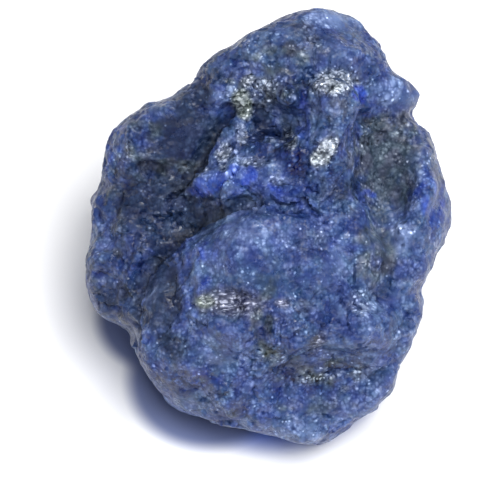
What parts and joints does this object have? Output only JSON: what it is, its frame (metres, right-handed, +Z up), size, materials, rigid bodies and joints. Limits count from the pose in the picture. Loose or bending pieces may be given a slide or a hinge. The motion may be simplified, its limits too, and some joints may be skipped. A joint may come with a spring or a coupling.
{
  "type": "rough sapphire",
  "caption": "Rough sapphire: a single broken lump of granular blue corundum with a rounded front lump, a stepped hollow face, and a small flat fracture to rest on.",
  "frame": {"origin": "middle of the stone's bounding box in X and Y, at the height of its resting face", "axes": "+Z up from the resting face; the stepped show face looks towards -Y and up; +X is to the right of someone who looks at that face"},
  "size_m": [0.0256, 0.03, 0.0225],
  "materials": {
    "sapphire": "broken, granular corundum: slightly translucent blue with paler and darker patches, greenish-grey veins and small glassy flakes"
  },
  "bodies": {
    "root": {"stone": "sapphire"}
  },
  "joints": []
}
